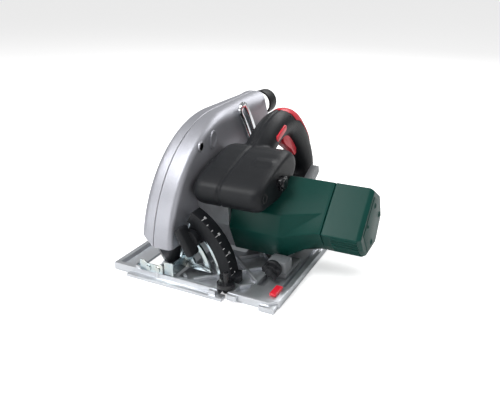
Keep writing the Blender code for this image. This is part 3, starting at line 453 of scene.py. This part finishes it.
# Upper guard -------------------------------------------------------------------------------
GUARD_C, GUARD_R, SPINDLE, GUARD_REAR_R = (10.0, 20.0), 137.5, (0.0, 32.5), 127.0
GUARD_BOTTOM = 36.6
SPOUT_CORNERS = ((110.0, 161.0), (120.0, 122.0))
SHELL = 1.3                                # the wall's thickness
PARTING_LIP = ((0.25, 1.2), (0.25, 0.5), (0.7, 0.0))    # (x, depth) beside the halves' parting line
RIM_STEPS, FADE_STEPS = 7, 12              # segments round the rim; rim points over which it widens
RIM_SPOUT = {1: 0.6, -1: 0.1}              # by side: share of the spout's rounding where the round rim ends
# a plane that cuts the cover's lower front corner away, to clear the base plate when the head is tilted
RELIEF_PLACE, RELIEF_NORMAL = (-17.5, -100.5, 36.6), (-0.602, -0.402, -0.689)


def guard_rim(begun):
    """Side outline of the guard as (y, z, how far the spout has begun), from front to rear."""
    rim = arc(GUARD_C, GUARD_R, 186, 90, 44)
    points = [(y, z, begun * max(0.0, 1 - (len(rim) - 1 - k) / FADE_STEPS)) for k, (y, z) in enumerate(rim)]
    (ya, za, _), (yb, zb) = points[-1], SPOUT_CORNERS[0]
    points += [(ya + (yb - ya) * t, za + (zb - za) * t, min(1.0, begun + t))
               for t in (0.2, 0.4, 0.6, 0.8, 1.0)]
    points += [(*SPOUT_CORNERS[1], 0.4)]
    points += [(y, z, 0.0) for y, z in arc(SPINDLE, GUARD_REAR_R, 45, -4, 20)]
    return points


def guard_half(side, width, rim, spout_rim):
    """One half of the guard: its rim rounds over into a flat side, more so along the spout."""
    points = guard_rim(RIM_SPOUT[side])
    bm = bmesh.new()
    rows = []
    for k, (y, z, spout) in enumerate(points):
        before, after = points[max(k - 1, 0)], points[min(k + 1, len(points) - 1)]
        along = Vector((after[0] - before[0], after[1] - before[1])).normalized()
        inward = Vector((along.y, -along.x))
        corner = rim + (spout_rim - rim) * spout
        profile = [*PARTING_LIP, ((width - corner) * 0.5, 0.0)]
        profile += [(width - corner + corner * math.sin(a), corner - corner * math.cos(a))
                    for a in (math.radians(90 * step / RIM_STEPS) for step in range(RIM_STEPS + 1))]
        rows.append([bm.verts.new((side * x, y + inward.x * d, z + inward.y * d)) for x, d in profile])
    chains = [[bm.edges.new(pair) for pair in zip(row, row[1:])] for row in rows]
    for first, second in zip(chains, chains[1:]):
        bmesh.ops.bridge_loops(bm, edges=first + second)
    inner = [row[-1] for row in rows]
    closing = [bm.edges.get(pair) or bm.edges.new(pair) for pair in zip(inner, inner[1:] + inner[:1])]
    bmesh.ops.contextual_create(bm, geom=closing)
    cuts = [((0, 0, GUARD_BOTTOM), (0, 0, -1))] + [(RELIEF_PLACE, RELIEF_NORMAL)] * (side < 0)
    for place, normal in cuts:
        bmesh.ops.bisect_plane(bm, geom=bm.verts[:] + bm.edges[:] + bm.faces[:], plane_co=place,
                               plane_no=normal, clear_outer=True)
    bmesh.ops.recalc_face_normals(bm, faces=bm.faces)
    side_face = max(bm.faces, key=lambda f: f.calc_area())
    if side_face.normal.x * side < 0:
        bmesh.ops.reverse_faces(bm, faces=bm.faces)
    bmesh.ops.solidify(bm, geom=bm.faces[:], thickness=SHELL)
    return bm


housing = guard_half(1, 22.0, 6.0, 18.0)
piece("guard_housing_shell", housing, "guard_paint", "saw_head", ["guard_housing"], recalc=False)
cover = guard_half(-1, 17.0, 8.0, 15.0)
piece("guard_cover_shell", cover, "guard_paint", "saw_head", ["guard_cover"], recalc=False)


# Handle ------------------------------------------------------------------------------------
HANDLE_X, HANDLE_R = 60.0, 17.0
SEAM_HALF, SEAM_DEPTH, VOXEL, SMOOTH_ROUNDS = 1.6, 1.3, 1.5, 4
HANDLE_LINE = [(-30, 86), (-8, 107), (16, 123), (46, 133.5), (79, 131), (107, 110), (127.5, 84), (138, 58),
               (128, 38), (104, 31), (70, 34), (50, 40)]
BARREL = [(-86, 78), (-93, 86), (-93, 98), (-83, 106), (-55, 116), (-17, 125), (4, 117), (8, 102), (-8, 86),
          (-34, 78)]
BARREL_C = (-52, 98)
BARREL_SECTIONS = ((27.8, 0.78), (29.5, 0.90), (33, 0.97), (38, 1), (98, 1), (103, 0.96), (105.6, 0.90),
                   (106.8, 0.80))
SWELL_C, SWELL_SECTIONS = (-40, 97), ((76, 20), (80, 24), (99, 24), (101, 22.5))    # (x, radius)


def scaled(points, centre, factor):
    """Outline points drawn in or out about a centre."""
    return [(centre[0] + (u - centre[0]) * factor, centre[1] + (v - centre[1]) * factor) for u, v in points]


def loft(bm, axis, sections):
    """A skin over outlines of equal count, given as (height along axis, points)."""
    rings = [outline_ring(bm, axis, points, height) for height, points in sections]
    for first, second in zip(rings, rings[1:]):
        bmesh.ops.bridge_loops(bm, edges=first + second)
    for ring in (rings[0], rings[-1]):
        bmesh.ops.contextual_create(bm, geom=ring)


def union_skin(name, solids, voxel, rounds):
    """Fuse overlapping solids into one skin and smooth the joins."""
    mesh = bpy.data.meshes.new(name)
    solids.to_mesh(mesh)
    solids.free()
    carrier = bpy.data.objects.new(name + "_work", mesh)
    bpy.context.scene.collection.objects.link(carrier)
    fuse = carrier.modifiers.new("fuse", "REMESH")
    fuse.mode, fuse.voxel_size, fuse.use_smooth_shade = "VOXEL", voxel, True
    bpy.context.view_layer.update()
    done = carrier.evaluated_get(bpy.context.evaluated_depsgraph_get())
    bm = bmesh.new()
    bm.from_mesh(done.to_mesh())
    done.to_mesh_clear()
    bpy.data.objects.remove(carrier)
    for _ in range(rounds):
        bmesh.ops.smooth_vert(bm, verts=bm.verts, factor=0.5, use_axis_x=True, use_axis_y=True,
                              use_axis_z=True)
    return bm


def press_seam(bm, plane, half_width, depth):
    """Press a narrow groove into a skin along the plane x = plane."""
    bm.normal_update()
    for vert in bm.verts:
        away = abs(vert.co.x - plane) / half_width
        if away < 1:
            vert.co -= vert.normal * depth * (1 - away * away)


grip = bmesh.new()
line = smooth_path(HANDLE_LINE, 5)
stations = []
for k, (y, z) in enumerate(line):
    before, after = line[max(k - 1, 0)], line[min(k + 1, len(line) - 1)]
    direction = Vector((0, after[0] - before[0], after[1] - before[1])).normalized()
    stations.append((Vector((HANDLE_X, y, z)), HANDLE_R, HANDLE_R, direction))
tube_through(grip, stations)
round_barrel = smooth_path(BARREL + BARREL[:1], 3)[:-1]
loft(grip, "x", [(x, scaled(round_barrel, BARREL_C, k)) for x, k in BARREL_SECTIONS])
loft(grip, "x", [(x, arc(SWELL_C, r, 0, 360 - 15, 23)) for x, r in SWELL_SECTIONS])
union = union_skin("handle_shell", grip, VOXEL, SMOOTH_ROUNDS)
press_seam(union, HANDLE_X, SEAM_HALF, SEAM_DEPTH)
piece("handle_shell", union, "black_plastic", "saw_head", ["handle_left_half", "handle_right_half"],
      sharp=60)

OVERLAY_START_Y, OVERLAY_END_Z = 58.0, 74.0
OVERLAY_R, OVERLAY_INNER_R, OVERLAY_STEPS = 17.9, 16.0, 14
# its half-angle in degrees: at the ends, what is added between them, how fast it opens and closes
OVERLAY_HALF, OVERLAY_WIDER, OVERLAY_OPENS, OVERLAY_CLOSES = 20, 60, 7, 0.45
overlay = bmesh.new()
covered = [k for k, (y, z) in enumerate(line) if y > OVERLAY_START_Y and z > OVERLAY_END_Z]
bands = []
for count, k in enumerate(covered):
    (ya, za), (yb, zb) = line[k - 1], line[k + 1]
    outward = Vector((0, -(zb - za), yb - ya)).normalized()
    ratio = count / (len(covered) - 1)
    half = OVERLAY_HALF + OVERLAY_WIDER * min(1, OVERLAY_OPENS * ratio) * (1 - ratio) ** OVERLAY_CLOSES
    radius = OVERLAY_R if 0 < count < len(covered) - 1 else HANDLE_R
    sweep = [-half + 2 * half * step / OVERLAY_STEPS for step in range(OVERLAY_STEPS + 1)]
    ring = [(radius, a) for a in sweep] + [(OVERLAY_INNER_R, a) for a in reversed(sweep)]
    verts = [overlay.verts.new(Vector((HANDLE_X, *line[k])) + outward * q * math.cos(math.radians(a))
                               + Vector((q * math.sin(math.radians(a)), 0, 0))) for q, a in ring]
    bands.append([overlay.edges.new(pair) for pair in zip(verts, verts[1:] + verts[:1])])
for first, second in zip(bands, bands[1:]):
    bmesh.ops.bridge_loops(overlay, edges=first + second)
for end in (bands[0], bands[-1]):
    bmesh.ops.contextual_create(overlay, geom=end)
piece("grip_overlay_shape", overlay, "red_plastic", "saw_head", ["grip_overlay"], sharp=50)

# dark blocks in the grip overlay's notches: painted shade
notches = bmesh.new()
block(notches, (70.5, 61, 140.5), (74.8, 64, 145), 0.6, 2)
block(notches, (72.5, 131, 80), (76.0, 136, 83), 0.6, 2)
piece("overlay_notches", notches, "painted_shade_recess", "saw_head")

# a near-black dish in the barrel's end hole: painted shade
recess = bmesh.new()
turned(recess, "x", (-80, 93), [(105.2, 0.0), (105.2, 3.4), (107.0, 3.6), (107.5, 4.2), (107.3, 5.0),
                                (105, 5.4)], 28)
piece("barrel_end_hole", recess, "painted_shade_recess", "saw_head")


# Motor -------------------------------------------------------------------------------------
MOTOR = (-16.0, 61.0)
CASING_X = (60.1, 157.9)
TAPER_X = (118, 152)                       # where the wide front narrows to the fan end
CAP_X, CAP_END_SCALE = (158.4, 195.5, 200), 0.93    # start, last full section, drawn-in end
LOUVRES, LOUVRE_PITCH, LOUVRE_TOP, LOUVRE_X = 7, 3.9, 51.5, (168, 196.5)
FRONT_SECTION = [(-64, 71), (-71, 49), (-57, 19), (-28, 15), (14, 18), (30, 48), (18, 80), (-13, 97)]
REAR_SECTION = [(-41, 70), (-57, 54.5), (-44, 37), (-28, 24), (13, 24), (30, 52), (17, 80), (-12, 96.5)]


def facets(bm, rim, limit=FACET_CORNER):
    """Round every edge of a faceted casting."""
    bmesh.ops.recalc_face_normals(bm, faces=bm.faces)
    soften(bm, hard_edges(bm.edges, limit), rim)


def joined(bm, first, second):
    """Split a face along a line between two of its corners, given as places."""
    near = [min(bm.verts, key=lambda v: (v.co - Vector(place)).length) for place in (first, second)]
    bmesh.ops.connect_vert_pair(bm, verts=near)


casing = bmesh.new()
loft(casing, "x", [(CASING_X[0], FRONT_SECTION), (TAPER_X[0], FRONT_SECTION), (TAPER_X[1], REAR_SECTION),
                   (CASING_X[1], REAR_SECTION)])
joined(casing, (TAPER_X[0], -71, 49), (TAPER_X[1], -41, 70))
joined(casing, (TAPER_X[0], -71, 49), (TAPER_X[1], -44, 37))
tapering = [f for f in casing.faces if TAPER_X[0] + 1 < f.calc_center_median().x < TAPER_X[1] - 2]
bmesh.ops.triangulate(casing, faces=[f for f in tapering if len(f.verts) == 4])
facets(casing, 1.1, limit=24)
piece("motor_casing", casing, "green_plastic", "saw_head", ["motor_housing"], sharp=30)

end_cap = bmesh.new()
loft(end_cap, "x", [(CAP_X[0], REAR_SECTION), (CAP_X[1], REAR_SECTION),
                    (CAP_X[2], scaled(REAR_SECTION, MOTOR, CAP_END_SCALE))])
facets(end_cap, 1.0)
piece("motor_cap", end_cap, "green_plastic", "saw_head", ["motor_end_cap"], sharp=16)

panel = bmesh.new()
slab(panel, "x", [(-46, 57), (-13, 88), (10, 76), (22, 52), (8, 29), (-24, 29)], 199.4, 200.6, 0.4)
for y, z in ((-33, 62), (14, 58), (-12, 36), (-8, 76)):
    turned(panel, "x", (y, z), [(200.2, 0), (200.2, 1.2), (201.0, 1.9), (201.2, 2.9), (200.4, 3.6)], 20)
piece("cap_panel", panel, "green_plastic", "saw_head")

louvres = bmesh.new()
chamfer = REAR_SECTION[1:4]
for k in range(LOUVRES):
    z = LOUVRE_TOP - LOUVRE_PITCH * k
    (ya, za), (yb, zb) = chamfer[:2] if z > chamfer[1][1] else chamfer[1:]
    y = ya + (yb - ya) * (z - za) / (zb - za)
    block(louvres, (LOUVRE_X[0], y - 1.0, z - 0.8), (LOUVRE_X[1], y + 2.0, z + 0.9), 0.45, 2)
piece("cap_louvres", louvres, "green_plastic", "saw_head")


# Base --------------------------------------------------------------------------------------
RIB_PITCH, RIB_NODE = 44.0, (85.0, -77.0)
RIB_SLOPES, RIB_COUNTS, RIB_SHORTEST = (-0.9, 1.05), range(-2, 7), 6
RIB_HALF_W, RIB_HALF_H, RIB_Z = 1.8, 2.6, 4.9
RIB_FIELDS = ((29, 105, -120, -38), (66, 105, -38, 150))    # (x from, x to, y from, y to)


def clipped(slope, offset, field):
    """Ends of the line y = slope * (x - node) + offset inside a field, or None."""
    x0, x1, y0, y1 = field
    crossings = sorted(((y - offset) / slope + RIB_NODE[0]) for y in (y0, y1))
    low, high = max(x0, crossings[0]), min(x1, crossings[1])
    if high - low < RIB_SHORTEST:
        return None
    return [Vector((x, slope * (x - RIB_NODE[0]) + offset, 0)) for x in (low, high)]


ribs = bmesh.new()
for slope in RIB_SLOPES:
    for count in RIB_COUNTS:
        for field in RIB_FIELDS:
            span = clipped(slope, RIB_NODE[1] + RIB_PITCH * count, field)
            if span:
                run = span[1] - span[0]
                middle = (span[0] + span[1]) / 2
                half = Vector((run.length / 2, RIB_HALF_W, RIB_HALF_H))
                place = Vector((middle.x, middle.y, RIB_Z))
                block(ribs, place - half, place + half, 1.2, 2,
                      Matrix.Rotation(math.atan2(run.y, run.x), 3, "Z"))
piece("base_ribs", ribs, "cast_aluminium", "base")


# Fence clamp and front flange --------------------------------------------------------------
KNOB = (119.0, 20.0)                       # (x, z) of the fence clamp's screw
FLANGE_Y = (-130.3, -129.0)                # its outline ends in x short of the quadrant plate's foot
FLANGE_SCREWS = ((-5.0, 13.2), (6.5, 13.2))    # (x, z)
SCREW_HEAD = ((1.9, 0), (1.9, 1.5), (1.5, 2.9), (0.6, 3.2), (-0.3, 3.2))    # (height, radius)

wing = bmesh.new()
turned(wing, "y", KNOB, [(-96.5, 0), (-96.5, 3.5), (-95.6, 4.2), (-88.6, 4.4), (-88.2, 8.6), (-87.4, 9.4),
                         (-83.9, 9.4), (-83.1, 8.7)], 36)
block(wing, (KNOB[0] - 9.2, -96.0, KNOB[1] - 3.1), (KNOB[0] + 9.2, -87.9, KNOB[1] + 3.1), 1.8, 3,
      Matrix.Rotation(math.radians(35), 3, "Y"))
piece("fence_knob_shape", wing, "black_plastic", "fence_knob", ["fence_clamp_knob"])

flange = bmesh.new()
slab(flange, "y", [(-16, 8.7), (12.8, 8.7), (12.8, 19), (10, 20.5), (7, 18), (-6, 18), (-10, 21),
                   (-16, 21)], *FLANGE_Y, 0.3)
for place in FLANGE_SCREWS:
    turned(flange, "y", place, [(FLANGE_Y[0] - height, r) for height, r in SCREW_HEAD], 18)
piece("front_flange", flange, "zinc", "base")


# Bevel scale -------------------------------------------------------------------------------
BEVEL_AXIS, SCALE_R, FIRST_MARK = (0.0, 1.8), 84.0, 53.7
MARK_STEP, MARKS_PER_NUMBER, SCALE_EDGE_Y, NUMBER_Y, NUMBER_SIZE = 5, 3, -109.0, -101.6, 3.9
LONG_MARK, SHORT_MARK, MARK_WIDTH, MARK_HEIGHT = 4.6, 3.2, 0.45, 0.3
NUMBERS = ("45", "30", "15", "0")


def on_scale(degrees, y, lift):
    """A matrix whose X runs along the arc's axis, Y along the arc and Z outwards."""
    turn = math.radians(degrees)
    outward = Vector((math.cos(turn), 0, math.sin(turn)))
    onward = Vector((-math.sin(turn), 0, math.cos(turn)))
    axis = Vector((0, 1, 0))
    place = Vector((BEVEL_AXIS[0], y, BEVEL_AXIS[1])) + outward * (SCALE_R + lift)
    return Matrix.Translation(place) @ Matrix((axis, onward, outward)).transposed().to_4x4()


def lettering(bm, text, size, matrix):
    """Numbers as thin solid letters."""
    drawn = bpy.data.curves.new("number", "FONT")
    drawn.body, drawn.size, drawn.extrude, drawn.resolution_u = text, size, 0.12, 3
    drawn.align_x, drawn.align_y = "CENTER", "CENTER"
    holder = bpy.data.objects.new("number", drawn)
    bpy.context.scene.collection.objects.link(holder)
    bpy.context.view_layer.update()
    mesh = bpy.data.meshes.new_from_object(holder.evaluated_get(bpy.context.evaluated_depsgraph_get()))
    mesh.transform(matrix)
    bm.from_mesh(mesh)
    bpy.data.objects.remove(holder)
    bpy.data.meshes.remove(mesh)


marks = bmesh.new()
for k in range(MARKS_PER_NUMBER * (len(NUMBERS) - 1) + 1):
    degrees = FIRST_MARK - MARK_STEP * k
    long = SHORT_MARK if k % MARKS_PER_NUMBER else LONG_MARK
    tick = bmesh.ops.create_cube(marks, size=1.0)["verts"]
    bmesh.ops.transform(marks, matrix=on_scale(degrees, SCALE_EDGE_Y + long / 2, 0.06)
                        @ Matrix.Diagonal((long, MARK_WIDTH, MARK_HEIGHT, 1)), verts=tick)
for k, text in enumerate(NUMBERS):
    lettering(marks, text, NUMBER_SIZE,
              on_scale(FIRST_MARK - MARK_STEP * MARKS_PER_NUMBER * k + 0.2, NUMBER_Y, 0.05))
piece("scale_marks", marks, "white_marks", "base", recalc=False)


# Guard details -----------------------------------------------------------------------------
def blister(bm, axis, centre, across, up, low, high, lean=0.0):
    """A low oval boss with a dished top."""
    profile = [(1.0, low), (0.97, high - 0.5), (0.86, high), (0.74, high), (0.62, high - 0.7),
               (0.30, high - 0.9)]
    turn = math.radians(lean)
    rings = []
    for factor, height in profile:
        outline = []
        for u, v in arc((0, 0), 1.0, 0, 360 - 10, 35):
            a, b = u * across * factor, v * up * factor
            outline.append((centre[0] + a * math.cos(turn) - b * math.sin(turn),
                            centre[1] + a * math.sin(turn) + b * math.cos(turn)))
        rings.append((height, outline))
    loft(bm, axis, rings)


bosses = bmesh.new()
blister(bosses, "x", (-35, 133), 7.0, 10.5, 21.0, 23.6, -12)
blister(bosses, "x", (-60.5, 131), 4.6, 5.6, 21.0, 22.9, -30)
piece("guard_bosses", bosses, "guard_paint", "saw_head")


# Floor, light and camera -------------------------------------------------------------------
TABLE, TABLE_Z = (-15000, -15000, 15000, 15000), -0.6    # x and y from, x and y to; just under the base
OPENING = (-28, -127, 72, 127)             # where the blade and lower guard reach through the table top
GLOW, WORLD_ON_PARTS, WORLD_SEEN = 0.55, 0.30, 1.05
LIGHT_AIM = (0.04, 0.13, 0.07)
SOFTBOXES = (                              # name, place, width, height, power
    ("key_light", (-0.50, -0.55, 1.50), 0.8, 0.8, 24),
    ("side_light", (1.25, -0.75, 0.55), 0.8, 0.6, 3),
    ("front_light", (-0.7, -1.3, 0.45), 0.9, 0.6, 7),
    ("back_light", (0.3, 1.2, 1.1), 1.2, 0.5, 12))
SENSOR_WIDTH, LENS, EYE_ROLL = 36.0, 39.54, -0.12
EYE_PLACE, EYE_BACK = (0.3216, -0.4121, 0.2946), (0.4162, -0.8306, 0.3697)


def rectangle(left, front, right, back):
    """The four corners of a rectangle seen from above."""
    return [(left, front), (right, front), (right, back), (left, back)]


def stage_and_light():
    """A plain pale table top with room for the blade, soft lights and the view."""
    bm = bmesh.new()
    outer = outline_ring(bm, "z", rectangle(*TABLE), TABLE_Z)
    inner = outline_ring(bm, "z", rectangle(*OPENING), TABLE_Z)
    bmesh.ops.triangle_fill(bm, use_beauty=True, edges=outer + inner)
    for face in bm.faces:
        face.normal_update()
        if face.normal.z < 0:
            face.normal_flip()
    bm.transform(TO_FRAME)
    mesh = bpy.data.meshes.new("table_top")
    bm.to_mesh(mesh)
    bm.free()
    floor = bpy.data.objects.new("table_top", mesh)
    bpy.context.scene.collection.objects.link(floor)
    pale = finish("pale_table", (0.90, 0.90, 0.90), 0.7, 0.0, 0.02, 4, 0.05, 300, 0.02)
    tree = pale.node_tree
    seen = node(tree, "ShaderNodeLightPath").outputs["Is Camera Ray"]
    glow = node(tree, "ShaderNodeMath", [(0, seen), (1, GLOW)], operation="MULTIPLY")
    tree.links.new(glow.outputs[0], tree.nodes["Principled BSDF"].inputs["Emission Strength"])
    tree.nodes["Principled BSDF"].inputs["Emission Color"].default_value = (1, 1, 1, 1)
    mesh.materials.append(pale)

    world = bpy.data.worlds.new("studio")
    bpy.context.scene.world = world
    world.use_nodes = True
    tree = world.node_tree
    seen = node(tree, "ShaderNodeLightPath").outputs["Is Camera Ray"]
    power = node(tree, "ShaderNodeMapRange", [("Value", seen), ("To Min", WORLD_ON_PARTS),
                                              ("To Max", WORLD_SEEN)])
    tree.links.new(power.outputs[0], tree.nodes["Background"].inputs["Strength"])
    tree.nodes["Background"].inputs["Color"].default_value = (1.0, 1.0, 1.0, 1)

    for name, place, width, height, energy in SOFTBOXES:
        light = bpy.data.lights.new(name, "AREA")
        light.shape, light.size, light.size_y, light.energy = "RECTANGLE", width, height, energy
        lamp = bpy.data.objects.new(name, light)
        lamp.location = place
        lamp.rotation_euler = (Vector(LIGHT_AIM) - Vector(place)).to_track_quat("-Z", "Y").to_euler()
        bpy.context.scene.collection.objects.link(lamp)

    camera = bpy.data.cameras.new("view")
    camera.sensor_width, camera.lens = SENSOR_WIDTH, LENS
    camera.clip_start, camera.clip_end = 0.02, 40.0
    eye = bpy.data.objects.new("view", camera)
    back = Vector(EYE_BACK).normalized()
    right = Vector((0, 0, 1)).cross(back).normalized()
    up = back.cross(right)
    roll = math.radians(EYE_ROLL)
    across = math.cos(roll) * right + math.sin(roll) * up
    upward = -math.sin(roll) * right + math.cos(roll) * up
    turn = Matrix((across, upward, back)).transposed()
    eye.matrix_world = Matrix.Translation(EYE_PLACE) @ turn.to_4x4()
    bpy.context.scene.collection.objects.link(eye)
    bpy.context.scene.camera = eye
    bpy.context.scene.view_settings.view_transform = "Standard"


stage_and_light()
